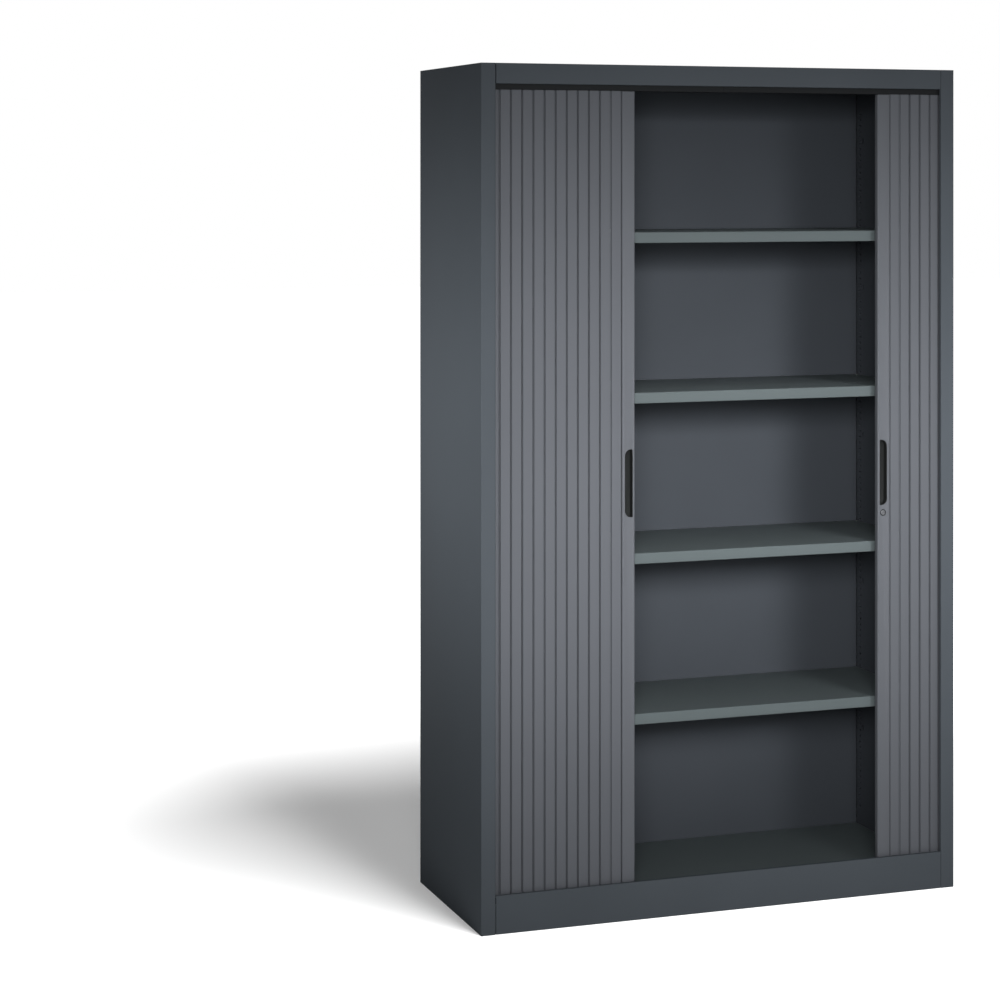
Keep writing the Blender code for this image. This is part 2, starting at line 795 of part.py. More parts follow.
# Leading rails, drawn tubes with a cut-out for the grip
def leading_rail(name, side, edge, carriage):
    left, right = sorted((x_of(side, edge), x_of(side, edge - LEAD_WIDTH)))
    front = y_of(LEAD_FRONT)
    rear = y_of(LEAD_FRONT + LEAD_DEPTH)
    outer = rounded_box((left, front), (right, rear), [LEAD_CORNER] * 4)
    wall = LEAD_WALL
    inner = rounded_box((left + wall, front + wall), (right - wall, rear - wall), [LEAD_CORNER - wall] * 4)
    middle = Matrix.Translation((0, 0, (lead_bottom + lead_top) / 2))
    mesh = outline_mesh(name, [outer, inner[::-1]], lead_top - lead_bottom, middle)
    piece = add(name, mesh, paint(name, slat_grey, 0.4, 0.0), carriage)
    hole = [grip_outline(side, edge, SEAT_GAP)]
    depth = LEAD_WALL + OVERRUN
    place = Matrix.Translation((0, front + LEAD_WALL - depth / 2 + SEAT_GAP, 0)) @ UPRIGHT
    cut(piece, cutter(name + "_cutout", outline_mesh(name + "_cutout", hole, depth, place)))
    return piece


# Grips, moulded cups let into the leading rails
def grip(name, side, edge, carriage):
    front = y_of(LEAD_FRONT)
    place = Matrix.Translation((0, front + GRIP_DEPTH / 2, 0)) @ UPRIGHT
    mesh = outline_mesh(name, [grip_outline(side, edge, 0)], GRIP_DEPTH, place)
    piece = add(name, mesh, paint(name, black_plastic, 0.6, 0.0), carriage)
    depth = GRIP_DEPTH - GRIP_WALL + OVERRUN
    place = Matrix.Translation((0, front + GRIP_DEPTH - GRIP_WALL - depth / 2, 0)) @ UPRIGHT
    pocket = outline_mesh(name + "_pocket", [grip_outline(side, edge, -GRIP_WALL)], depth, place)
    cut(piece, cutter(name + "_pocket", pocket))
    return piece


# Guide shoes, blocks plugged into the ends of the leading rails
def guide_shoe(name, side, edge, foot_end, rail_end, carriage):
    middle = edge - LEAD_WIDTH / 2
    half_foot = SHOE_WIDTH / 2
    left, right = sorted((x_of(side, middle - half_foot), x_of(side, middle + half_foot)))
    front = y_of(TRACK_INSET - SLAT_OUTER)
    rear = y_of(TRACK_INSET + SLAT_INNER)
    inward = 1 if rail_end > foot_end else -1
    plug_end = rail_end + inward * SHOE_PLUG
    low, high = sorted((foot_end, rail_end + inward * SHOE_PLUG / 2))
    piece = add(
        name,
        box_mesh(name, (left, front, low), (right, rear, high)),
        paint(name, black_plastic, 0.6, 0.0),
        carriage,
    )
    inset = LEAD_WALL + SEAT_GAP
    left, right = sorted((x_of(side, edge - inset), x_of(side, edge - LEAD_WIDTH + inset)))
    low, high = sorted((rail_end + inward * SEAT_GAP, plug_end))
    front = y_of(LEAD_FRONT + inset)
    rear = y_of(LEAD_FRONT + LEAD_DEPTH - inset)
    plug = rounded_box((left, front), (right, rear), [LEAD_CORNER - LEAD_WALL] * 4)
    place = Matrix.Translation((0, 0, (low + high) / 2))
    cut(piece, cutter(name + "_plug", outline_mesh(name + "_plug", [plug], high - low, place)), "UNION")
    return piece


carriages = {}
for side, side_word, edge in ((-1, "left", LEFT_EDGE), (1, "right", RIGHT_EDGE)):
    carriage = carriage_at(f"{side_word}_door_carriage", side, edge)
    carriages[side_word] = carriage
    curtain(f"{side_word}_curtain", side, edge, carriage)
    leading_rail(f"{side_word}_leading_rail", side, edge, carriage)
    grip(f"{side_word}_grip", side, edge, carriage)
    guide_shoe(f"{side_word}_lower_shoe", side, edge, slat_bottom, lead_bottom, carriage)
    guide_shoe(f"{side_word}_upper_shoe", side, edge, slat_top, lead_top, carriage)

# Lock: a cylinder through the right leading rail, turning a cam behind it
lock_x = x_of(1, RIGHT_EDGE - LOCK_EDGE)
lock_axis = bpy.data.objects.new("lock_axis", None)
lock_axis.location = (lock_x, y_of(LEAD_FRONT), LOCK_LEVEL)
lock_axis.rotation_euler = (math.radians(-90), 0, 0)
cabinet.objects.link(lock_axis)
bpy.context.view_layer.update()
lock_axis.parent = carriages["right"]
lock_axis.matrix_parent_inverse = carriages["right"].matrix_world.inverted()
bpy.context.view_layer.update()
lock_place = lock_axis.matrix_world.copy()


def bore_rail(name, radius, low, high):
    """A round hole through one wall of the right leading rail."""
    tool = cutter(name, round_bar(name, radius, low, high))
    tool.matrix_world = lock_place
    cut(bpy.data.objects["right_leading_rail"], tool)


bore_rail("lock_front_bore", LOCK_RADIUS + LOCK_HOLE_GAP, -OVERRUN, LEAD_DEPTH / 2)
bore_rail("lock_rear_bore", LOCK_BARREL + LOCK_HOLE_GAP, LEAD_DEPTH / 2 - LEAD_WALL, LEAD_DEPTH + OVERRUN)


def lock_cylinder(name):
    cam_front = LEAD_DEPTH + CAM_RUNNING_GAP
    head = LEAD_DEPTH - LEAD_WALL - SEAT_GAP
    profile = (
        (0, cam_front + CAM_THICKNESS + SEAT_GAP),
        (LOCK_BARREL, cam_front + CAM_THICKNESS + SEAT_GAP),
        (LOCK_BARREL, head),
        (LOCK_RADIUS, head),
        (LOCK_RADIUS, -LOCK_PROUD),
        (0, -LOCK_PROUD),
    )
    piece = turned_piece(name, profile, paint(name, zinc, 0.3, 0.9))
    piece.parent = lock_axis
    low = (-KEYWAY_WIDTH / 2, -KEYWAY_LENGTH / 2, -LOCK_PROUD - OVERRUN)
    high = (KEYWAY_WIDTH / 2, KEYWAY_LENGTH / 2, KEYWAY_DEPTH)
    keyway = cutter("keyway", box_mesh("keyway", low, high))
    keyway.matrix_world = lock_place
    cut(piece, keyway)
    return piece


def lock_cam(name):
    """A hooked finger that hangs down when the lock is open, cut round the barrel."""
    half = CAM_WIDTH / 2
    finger = arc((0, 0), half, 180, 360, CORNER_STEPS) + [
        (half, CAM_REACH),
        (-HOOK_REACH, CAM_REACH),
        (-HOOK_REACH, HOOK_START),
        (-half, HOOK_START),
    ]
    bore = arc((0, 0), LOCK_BARREL + LOCK_HOLE_GAP, 0, -360, ROUND_STEPS)[:-1]
    level = LEAD_DEPTH + CAM_RUNNING_GAP + CAM_THICKNESS / 2
    mesh = outline_mesh(name, [finger, bore], CAM_THICKNESS, Matrix.Translation((0, 0, level)))
    piece = add(name, mesh, paint(name, zinc, 0.35, 0.9))
    piece.parent = lock_axis
    return piece


lock_cylinder("lock_cylinder")
lock_cam("lock_cam")


# Keeper behind the left leading rail, an angle whose leg the cam hooks round
def lock_keeper(name, side, edge, carriage):
    foot = y_of(LEAD_FRONT + LEAD_DEPTH + SEAT_GAP)
    leg = edge - KEEPER_EDGE
    profile = [
        (x_of(side, leg - KEEPER_FOOT), foot),
        (x_of(side, leg), foot),
        (x_of(side, leg), foot + KEEPER_LEG),
    ]
    low = LOCK_LEVEL + KEEPER_RISE
    return folded_sheet(name, profile, "plan", low, KEEPER_LENGTH, paint(name, zinc, 0.35, 0.9), carriage)


lock_keeper("lock_keeper", -1, LEFT_EDGE, carriages["left"])

for piece in cabinet.objects:
    if piece.type == "MESH" and piece.name.startswith(("levelling", "lock_cyl")):
        piece.data.shade_smooth()
        piece.data.set_sharp_from_angle(angle=math.radians(30))
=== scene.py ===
import json
import math

import bmesh
import bpy
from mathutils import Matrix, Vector

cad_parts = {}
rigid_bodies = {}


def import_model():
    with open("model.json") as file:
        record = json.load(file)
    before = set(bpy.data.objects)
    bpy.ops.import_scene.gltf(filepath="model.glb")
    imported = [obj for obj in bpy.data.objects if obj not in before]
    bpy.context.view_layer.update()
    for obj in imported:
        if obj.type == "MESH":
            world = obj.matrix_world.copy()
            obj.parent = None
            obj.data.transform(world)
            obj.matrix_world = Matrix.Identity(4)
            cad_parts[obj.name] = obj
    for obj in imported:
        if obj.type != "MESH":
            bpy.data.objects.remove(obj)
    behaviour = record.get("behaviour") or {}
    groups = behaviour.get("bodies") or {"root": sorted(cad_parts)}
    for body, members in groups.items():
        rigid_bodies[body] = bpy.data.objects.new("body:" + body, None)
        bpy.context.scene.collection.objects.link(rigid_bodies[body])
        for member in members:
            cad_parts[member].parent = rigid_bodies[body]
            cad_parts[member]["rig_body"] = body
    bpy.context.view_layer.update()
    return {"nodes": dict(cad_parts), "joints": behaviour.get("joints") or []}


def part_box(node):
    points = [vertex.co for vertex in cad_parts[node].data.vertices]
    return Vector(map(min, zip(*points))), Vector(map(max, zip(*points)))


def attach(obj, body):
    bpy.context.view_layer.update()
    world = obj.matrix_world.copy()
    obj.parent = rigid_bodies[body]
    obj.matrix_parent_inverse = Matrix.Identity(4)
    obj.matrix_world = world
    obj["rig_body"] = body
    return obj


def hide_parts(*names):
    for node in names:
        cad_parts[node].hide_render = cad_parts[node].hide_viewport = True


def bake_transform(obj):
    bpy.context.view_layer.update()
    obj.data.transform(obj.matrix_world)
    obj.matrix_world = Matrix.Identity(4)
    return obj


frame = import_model()

# Camera
# It stands left of the cabinet and a little lower than its top, with the lens level, as the
# upright lines of the photograph show, and the frame shifted down and to the right.
FRAME_PIXELS = 1000
FOCAL_PIXELS = 2358.3
CENTRE_PIXELS = (400, 179.6)
SENSOR = 36.0
CAMERA_PLACE = (-2.3981, -5.1627, 1.6887)
CAMERA_TURN = -18

camera = bpy.data.objects.new("camera", bpy.data.cameras.new("camera"))
camera.location = CAMERA_PLACE
camera.rotation_euler = (math.radians(90), 0, math.radians(CAMERA_TURN))
camera.data.sensor_width = SENSOR
camera.data.lens = SENSOR * FOCAL_PIXELS / FRAME_PIXELS
camera.data.shift_x = 0.5 - CENTRE_PIXELS[0] / FRAME_PIXELS
camera.data.shift_y = CENTRE_PIXELS[1] / FRAME_PIXELS - 0.5
camera.data.clip_end = 100
bpy.context.scene.collection.objects.link(camera)
bpy.context.scene.camera = camera
bpy.context.scene.view_settings.view_transform = "Standard"

# Studio
# White paper floor and surround. Gridded boxes make soft pools on the front, on the side and
# into the inside, and one box stands behind. A high box in front on the right lights the paper
# alone, so the shadow falls back and to the left.
FLOOR_SIZE = 60
FLOOR_SHADE = 0.80
FLOOR_BOUNCE = 0.40
FLOOR_GLOW = 0.24
GLOW_FADE = (1.2, 2.6)
SURROUND = 0.10
PAPER_ROUGHNESS = 0.9


def shader_of(material):
    """Switch a material to nodes; returns its tree and its shader."""
    material.use_nodes = True
    return material.node_tree, material.node_tree.nodes["Principled BSDF"]


def seen_white(tree, kinds):
    """A socket that is 1 for the kinds of ray that should see plain white."""
    rays = tree.nodes.new("ShaderNodeLightPath")
    socket = rays.outputs[kinds[0]]
    for kind in kinds[1:]:
        either = tree.nodes.new("ShaderNodeMath")
        either.operation = "MAXIMUM"
        tree.links.new(socket, either.inputs[0])
        tree.links.new(rays.outputs[kind], either.inputs[1])
        socket = either.outputs[0]
    return socket


world = bpy.data.worlds.new("surround")
world.use_nodes = True
bpy.context.scene.world = world
sky = world.node_tree.nodes["Background"]
sky.inputs["Color"].default_value = (1, 1, 1, 1)
level = world.node_tree.nodes.new("ShaderNodeMapRange")
level.inputs["To Min"].default_value = SURROUND
level.inputs["To Max"].default_value = 1
white_rays = seen_white(world.node_tree, ("Is Camera Ray", "Is Glossy Ray", "Is Transmission Ray"))
world.node_tree.links.new(white_rays, level.inputs["Value"])
world.node_tree.links.new(level.outputs["Result"], sky.inputs["Strength"])

paper = bpy.data.materials.new("white_paper")
paper_tree, paper_shader = shader_of(paper)
paper_white = seen_white(paper_tree, ("Is Camera Ray", "Is Glossy Ray"))
shade = paper_tree.nodes.new("ShaderNodeMix")
shade.data_type = "RGBA"
shade.inputs["A"].default_value = (FLOOR_BOUNCE, FLOOR_BOUNCE, FLOOR_BOUNCE, 1)
shade.inputs["B"].default_value = (FLOOR_SHADE, FLOOR_SHADE, FLOOR_SHADE, 1)
paper_tree.links.new(paper_white, shade.inputs["Factor"])
paper_tree.links.new(shade.outputs["Result"], paper_shader.inputs["Base Color"])
paper_shader.inputs["Roughness"].default_value = PAPER_ROUGHNESS
paper_shader.inputs["Specular IOR Level"].default_value = 0.0
paper_shader.inputs["Emission Color"].default_value = (1, 1, 1, 1)
# Painted light: for camera and glossy rays the paper glows, evenly white beyond GLOW_FADE from the
# cabinet's centre and only at FLOOR_GLOW near it, where this glow lifts the cabinet's shadow on the
# paper to grey.
paper_place = paper_tree.nodes.new("ShaderNodeTexCoord")
away = paper_tree.nodes.new("ShaderNodeVectorMath")
away.operation = "LENGTH"
paper_tree.links.new(paper_place.outputs["Object"], away.inputs[0])
fade = paper_tree.nodes.new("ShaderNodeMapRange")
fade.interpolation_type = "SMOOTHSTEP"
fade.inputs["From Min"].default_value, fade.inputs["From Max"].default_value = GLOW_FADE
fade.inputs["To Min"].default_value = FLOOR_GLOW
fade.inputs["To Max"].default_value = 1
paper_tree.links.new(away.outputs["Value"], fade.inputs["Value"])
glow = paper_tree.nodes.new("ShaderNodeMath")
glow.operation = "MULTIPLY"
paper_tree.links.new(fade.outputs["Result"], glow.inputs[1])
paper_tree.links.new(paper_white, glow.inputs[0])
paper_tree.links.new(glow.outputs[0], paper_shader.inputs["Emission Strength"])

floor_mesh = bpy.data.meshes.new("floor")
floor_shape = bmesh.new()
bmesh.ops.create_grid(floor_shape, x_segments=1, y_segments=1, size=FLOOR_SIZE / 2)
floor_shape.to_mesh(floor_mesh)
floor_shape.free()
floor = bpy.data.objects.new("floor", floor_mesh)
floor.data.materials.append(paper)
bpy.context.scene.collection.objects.link(floor)


def soft_box(name, place, aim, size, power, spread=180):
    """A rectangular area lamp turned towards a point, with a grid that narrows its spread."""
    lamp = bpy.data.lights.new(name, "AREA")
    lamp.shape = "RECTANGLE"
    lamp.size, lamp.size_y = size
    lamp.energy = power
    lamp.spread = math.radians(spread)
    box = bpy.data.objects.new(name, lamp)
    box.location = place
    box.rotation_euler = (Vector(aim) - Vector(place)).to_track_quat("-Z", "Y").to_euler()
    box.visible_camera = False
    bpy.context.scene.collection.objects.link(box)
    return box


soft_box("front_pool", (0.9, -4.2, 2.15), (0.25, 0, 0.94), (3.0, 0.9), 9.2, 26)
soft_box("front_fill", (-1.8, -4.2, 2.0), (0.3, 0, 0.93), (1.6, 1.2), 11, 38)
soft_box("side_pool", (-3.4, 0.2, 1.17), (-0.6, 0, 1.15), (0.8, 0.4), 2.3, 32)
paper_light = soft_box("paper_light", (0.95, -3.6, 8.2), (-0.3, 0, 0), (2.6, 2.6), 1000)
lit_paper = bpy.data.collections.new("lit_paper")
lit_paper.objects.link(floor)
paper_light.light_linking.receiver_collection = lit_paper
back_fill = soft_box("back_fill", (2.8, 3.4, 1.9), (0, 0, 1.0), (2.0, 2.0), 130)
all_but_paper = bpy.data.collections.new("all_but_paper")
all_but_paper.objects.link(floor)
all_but_paper.collection_objects[0].light_linking.link_state = "EXCLUDE"
back_fill.light_linking.receiver_collection = all_but_paper

# Folded sheet steel body
# Side panels, front rail, plinth, trays, top and back are 1.2 mm steel sheet, cut, folded on a
# press brake and powder coated in dark slate grey, a matt coat with a faint orange peel.
SHEET = 0.0012
FOLD_RADIUS = 0.0018
FOLD_STEPS = 4
ON_PLANE = 0.0001
PARALLEL = 0.99
SHARP_ANGLE = 50
SMOOTH_ANGLE = 35
BODY_COLOUR = (0.070, 0.080, 0.091)
COAT_GRAIN = 900
COAT_CLOUD = 4
CLOUD_DETAIL = 3
GRAIN_DETAIL = 2
GLOSS_SWING = 0.05
RELIEF_STRENGTH = 0.5
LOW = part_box("left_side_panel")[0]
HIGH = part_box("right_side_panel")[1]


def coat(
    name, colour, roughness, grain=COAT_GRAIN, depth=0.00006, cloud=0.08, metallic=0.0, specular=0.04
):
    """A surface with fine grain in its relief and slow, faint changes of shade and gloss."""
    material = bpy.data.materials.new(name)
    tree, shader = shader_of(material)
    nodes, links = tree.nodes, tree.links
    place = nodes.new("ShaderNodeTexCoord")
    slow = nodes.new("ShaderNodeTexNoise")
    slow.inputs["Scale"].default_value = COAT_CLOUD
    slow.inputs["Detail"].default_value = CLOUD_DETAIL
    fine = nodes.new("ShaderNodeTexNoise")
    fine.inputs["Scale"].default_value = grain
    fine.inputs["Detail"].default_value = GRAIN_DETAIL
    shade = nodes.new("ShaderNodeMix")
    shade.data_type = "RGBA"
    shade.inputs["A"].default_value = (*(c * (1 - cloud) for c in colour), 1)
    shade.inputs["B"].default_value = (*(c * (1 + cloud) for c in colour), 1)
    gloss = nodes.new("ShaderNodeMapRange")
    gloss.inputs["To Min"].default_value = roughness - GLOSS_SWING
    gloss.inputs["To Max"].default_value = roughness + GLOSS_SWING
    bump = nodes.new("ShaderNodeBump")
    bump.inputs["Strength"].default_value = RELIEF_STRENGTH
    bump.inputs["Distance"].default_value = depth
    links.new(place.outputs["Object"], slow.inputs["Vector"])
    links.new(place.outputs["Object"], fine.inputs["Vector"])
    links.new(slow.outputs["Fac"], shade.inputs["Factor"])
    links.new(shade.outputs["Result"], shader.inputs["Base Color"])
    links.new(slow.outputs["Fac"], gloss.inputs["Value"])
    links.new(gloss.outputs["Result"], shader.inputs["Roughness"])
    links.new(fine.outputs["Fac"], bump.inputs["Height"])
    links.new(bump.outputs["Normal"], shader.inputs["Normal"])
    shader.inputs["Metallic"].default_value = metallic
    shader.inputs["Specular IOR Level"].default_value = specular
    return material


def new_tree(name, inputs):
    """A geometry node tree with a geometry input, named inputs and a geometry output."""
    tree = bpy.data.node_groups.new(name, "GeometryNodeTree")
    tree.interface.new_socket("Geometry", in_out="INPUT", socket_type="NodeSocketGeometry")
    for title, kind in inputs:
        tree.interface.new_socket(title, in_out="INPUT", socket_type=kind)
    tree.interface.new_socket("Geometry", in_out="OUTPUT", socket_type="NodeSocketGeometry")
    given = tree.nodes.new("NodeGroupInput").outputs
    result = tree.nodes.new("NodeGroupOutput").inputs["Geometry"]
    return tree, given, result


def put(tree, kind, **links):
    """Add a node; each keyword is an input socket's name and what goes into it."""
    added = tree.nodes.new(kind)
    for title, source in links.items():
        socket = added.inputs[title.replace("_", " ")]
        if isinstance(source, bpy.types.NodeSocket):
            tree.links.new(source, socket)
        else:
            socket.default_value = source
    return added


def run_tree(piece, tree, values):
    """Give a piece a geometry node modifier with its named inputs set."""
    change = piece.modifiers.new(tree.name, "NODES")
    change.node_group = tree
    for item in tree.interface.items_tree:
        if item.item_type == "SOCKET" and item.in_out == "INPUT" and item.name in values:
            change[item.identifier] = values[item.name]


def settle(piece, name, smooth_angle=SMOOTH_ANGLE, outward=True):
    """Turn a piece with its modifiers into a plain mesh, with its faces pointing out."""
    bpy.context.view_layer.update()
    evaluated = piece.evaluated_get(bpy.context.evaluated_depsgraph_get())
    mesh = bpy.data.meshes.new_from_object(evaluated)
    bpy.data.objects.remove(piece, do_unlink=True)
    if outward:
        shape = bmesh.new()
        shape.from_mesh(mesh)
        bmesh.ops.recalc_face_normals(shape, faces=shape.faces)
        shape.to_mesh(mesh)
        shape.free()
    mesh.name = name
    mesh.shade_smooth()
    mesh.set_sharp_from_angle(angle=math.radians(smooth_angle))
    plain = bpy.data.objects.new(name, mesh)
    bpy.context.scene.collection.objects.link(plain)
    return plain


def stand_for(piece, node):
    """Let a finished piece take the place of a CAD node, on the body that the node rides on."""
    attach(piece, frame["nodes"][node]["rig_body"])
    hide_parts(node)
    return piece


fold_tree, given, result = new_tree(
    "folded_sheet",
    (
        ("Drawn out", "NodeSocketVector"),
        ("Fold radius", "NodeSocketFloat"),
        ("Fold steps", "NodeSocketInt"),
        ("Finish", "NodeSocketMaterial"),
    ),
)
line = put(fold_tree, "GeometryNodeMeshToCurve", Mesh=given["Geometry"])
fillet = put(
    fold_tree, "GeometryNodeFilletCurve", Curve=line.outputs["Curve"], Radius=given["Fold radius"]
)
fillet.mode = "POLY"
fold_tree.links.new(given["Fold steps"], fillet.inputs["Count"])
edge = put(fold_tree, "GeometryNodeCurveToMesh", Curve=fillet.outputs["Curve"])
drawn = put(
    fold_tree,
    "GeometryNodeExtrudeMesh",
    Mesh=edge.outputs["Mesh"],
    Offset=given["Drawn out"],
    Offset_Scale=1.0,
)
drawn.mode = "EDGES"
real = put(fold_tree, "GeometryNodeRealizeInstances", Geometry=drawn.outputs["Mesh"])
finished = put(
    fold_tree, "GeometryNodeSetMaterial", Geometry=real.outputs["Geometry"], Material=given["Finish"]
)
fold_tree.links.new(finished.outputs["Geometry"], result)


def folded(name, profile, draw, material, wall=SHEET, edge_radius=0.0002, finish=True):
    """A folded sheet from the line of its outer face, drawn out along a vector.

    The outer face looks along the line's direction crossed with the draw.
    """
    mesh = bpy.data.meshes.new(name)
    mesh.from_pydata(profile, [(i, i + 1) for i in range(len(profile) - 1)], [])
    strip = bpy.data.objects.new(name, mesh)
    bpy.context.scene.collection.objects.link(strip)
    values = {
        "Drawn out": draw,
        "Fold radius": FOLD_RADIUS,
        "Fold steps": FOLD_STEPS,
        "Finish": material,
    }
    run_tree(strip, fold_tree, values)
    bpy.context.view_layer.update()
    surface = strip.evaluated_get(bpy.context.evaluated_depsgraph_get()).data
    corner = Vector(profile[0])
    outward = (Vector(profile[1]) - corner).cross(Vector(draw)).normalized()
    facing = Vector()
    for face in surface.polygons:
        off_plane = abs((face.center - corner).dot(outward))
        if off_plane < ON_PLANE and abs(face.normal.dot(outward)) > PARALLEL:
            facing += face.normal
    # the surface may come out either way round, and the wall grows inwards from the outer face
    solid = strip.modifiers.new("sheet", "SOLIDIFY")
    solid.thickness = wall
    solid.offset = -1 if facing.dot(outward) > 0 else 1
    solid.use_even_offset = True
    if not finish:
        return strip
    soften(strip, edge_radius)
    return settle(strip, name)


def soften(piece, width, segments=1):
    """Break a piece's sharp edges."""
    round_off = piece.modifiers.new("soften", "BEVEL")
    round_off.width = width
    round_off.segments = segments
    round_off.limit_method = "ANGLE"
    round_off.angle_limit = math.radians(SHARP_ANGLE)


body_coat = coat("body_powder_coat", BODY_COLOUR, 0.58, specular=0.005)
POST_WIDTH = 0.0345
POST_LIP = 0.0080
REAR_FOLD = 0.0220
REAR_LIP = 0.0060
for side, node in ((-1, "left_side_panel"), (1, "right_side_panel")):
    flank = side * HIGH.x
    fold = side * (HIGH.x - REAR_FOLD)
    post = side * (HIGH.x - POST_WIDTH)
    profile = [
        (fold, HIGH.y - REAR_LIP, 0),
        (fold, HIGH.y, 0),
        (flank, HIGH.y, 0),
        (flank, LOW.y, 0),
        (post, LOW.y, 0),
        (post, LOW.y + POST_LIP, 0),
    ]
    if side > 0:
        profile.reverse()
    stand_for(folded(f"{node}_sheet", profile, (0, 0, HIGH.z), body_coat), node)

rail_low, rail_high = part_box("top_rail")
rail_width = rail_high.x - rail_low.x
profile = [
    (rail_low.x, rail_low.y, rail_high.z),
    (rail_low.x, rail_low.y, rail_low.z),
    (rail_low.x, rail_high.y, rail_low.z),
]
stand_for(folded("top_rail_sheet", profile, (rail_width, 0, 0), body_coat), "top_rail")

plinth_low, plinth_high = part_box("plinth")
PLINTH_TOP_FOLD = 0.007
profile = [
    (plinth_low.x, plinth_low.y + PLINTH_TOP_FOLD, plinth_high.z),
    (plinth_low.x, plinth_low.y, plinth_high.z),
    (plinth_low.x, plinth_low.y, 0),
    (plinth_low.x, plinth_high.y, 0),
]
stand_for(folded("plinth_sheet", profile, (rail_width, 0, 0), body_coat), "plinth")

# Trays and inner walls
# The same sheet again, in a darker coat, and the floor tray in the shelves' shade. The side
# walls are punched for the shelf clips, with a slot at every pitch behind and at every fifth
# in front, and with a few taller slots for a hanging frame.
INSIDE_COLOUR = (0.050, 0.056, 0.065)
FLOOR_COLOUR = (0.086, 0.103, 0.107)
TRAY_RETURN = 0.012
inside_coat = coat("inside_powder_coat", INSIDE_COLOUR, 0.55)
floor_coat = coat("floor_powder_coat", FLOOR_COLOUR, 0.50, specular=0.06)

low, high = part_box("ceiling_panel")
profile = [
    (low.x, low.y, high.z),
    (low.x, low.y, low.z),
    (low.x, high.y, low.z),
    (low.x, high.y, high.z),
]
ceiling = folded("ceiling_sheet", profile, (high.x - low.x, 0, 0), inside_coat)
stand_for(ceiling, "ceiling_panel")

low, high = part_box("floor_panel")
profile = [
    (low.x, high.y - TRAY_RETURN, low.z),
    (low.x, high.y, low.z),
    (low.x, high.y, high.z),
    (low.x, low.y, high.z),
    (low.x, low.y, low.z),
    (low.x, low.y + TRAY_RETURN, low.z),
]
floor_tray = folded("floor_sheet", profile, (high.x - low.x, 0, 0), floor_coat)
stand_for(floor_tray, "floor_panel")

low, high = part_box("inner_back")
profile = [
    (low.x, high.y, low.z),
    (low.x, low.y, low.z),
    (high.x, low.y, low.z),
    (high.x, high.y, low.z),
]
inner_back = folded("inner_back_sheet", profile, (0, 0, high.z - low.z), inside_coat)
stand_for(inner_back, "inner_back")

SLOT_PITCH = 0.01475
SLOT_SIZE = (0.0200, 0.0080, 0.0045)
LOWEST_SLOT = 0.1122
SLOT_COUNT = 119
REAR_SLOTS_INSET = 0.0170
FRONT_SLOTS_INSET = 0.0430
LOWEST_FRONT_SLOT = 0.15645
FRONT_SLOT_PITCH = SLOT_PITCH * 5
FRONT_SLOT_COUNT = 24
LINER_FRONT_FOLD = 0.0170
HANGER_SIZE = (0.0200, 0.0060, 0.0120)
HANGER_INSET = 0.0310
LOWEST_HANGER = 0.3114
HANGER_PITCH = 0.36875
HANGER_COUNT = 5

slot_tree, given, result = new_tree(
    "slot_column",
    (
        ("Foot", "NodeSocketVector"),
        ("Size", "NodeSocketVector"),
        ("Pitch", "NodeSocketFloat"),
        ("Count", "NodeSocketInt"),
        ("Finish", "NodeSocketMaterial"),
    ),
)
rise = put(slot_tree, "ShaderNodeCombineXYZ", Z=given["Pitch"])
spots = put(
    slot_tree,
    "GeometryNodeMeshLine",
    Count=given["Count"],
    Start_Location=given["Foot"],
    Offset=rise.outputs["Vector"],
)
punch_shape = put(slot_tree, "GeometryNodeMeshCube", Size=given["Size"])
punches = put(
    slot_tree,
    "GeometryNodeInstanceOnPoints",
    Points=spots.outputs["Mesh"],
    Instance=punch_shape.outputs["Mesh"],
)
punched_out = put(slot_tree, "GeometryNodeRealizeInstances", Geometry=punches.outputs["Instances"])
difference = slot_tree.nodes.new("GeometryNodeMeshBoolean")
difference.operation = "DIFFERENCE"
difference.solver = "EXACT"
slot_tree.links.new(given["Geometry"], difference.inputs["Mesh 1"])
slot_tree.links.new(punched_out.outputs["Geometry"], difference.inputs["Mesh 2"])
finished = put(
    slot_tree, "GeometryNodeSetMaterial", Geometry=difference.outputs["Mesh"], Material=given["Finish"]
)
slot_tree.links.new(finished.outputs["Geometry"], result)

back_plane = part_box("inner_back")[0].y
for side, node in ((-1, "left_liner"), (1, "right_liner")):
    low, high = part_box(node)
    inner, outer = (high.x, low.x) if side < 0 else (low.x, high.x)
    profile = [
        (inner + side * LINER_FRONT_FOLD, low.y, low.z),
        (inner, low.y, low.z),
        (inner, high.y, low.z),
        (outer, high.y, low.z),
    ]
    if side > 0:
        profile.reverse()
    wall = folded(f"{node}_sheet", profile, (0, 0, high.z - low.z), inside_coat, finish=False)
    centre = inner + side * SHEET / 2
    columns = [
        (back_plane - REAR_SLOTS_INSET, LOWEST_SLOT, SLOT_SIZE, SLOT_PITCH, SLOT_COUNT),
        (low.y + FRONT_SLOTS_INSET, LOWEST_FRONT_SLOT, SLOT_SIZE, FRONT_SLOT_PITCH, FRONT_SLOT_COUNT),
        (back_plane - HANGER_INSET, LOWEST_HANGER, HANGER_SIZE, HANGER_PITCH, HANGER_COUNT),
    ]
    for depth, lowest, size, pitch, count in columns:
        values = {"Foot": (centre, depth, lowest), "Size": size, "Pitch": pitch, "Count": count}
        values["Finish"] = inside_coat
        run_tree(wall, slot_tree, values)
    stand_for(settle(wall, f"{node}_sheet"), node)

# Top and back
# The top is a flat sheet with two stiffening ribs, slotted over the lips of the side panels,
# and the back a flat sheet between their folds. A box overhead in the studio lights only the
# top, which the other boxes don't reach.
FLAT_ANGLE = 1
TOP_FILL_POWER = 24


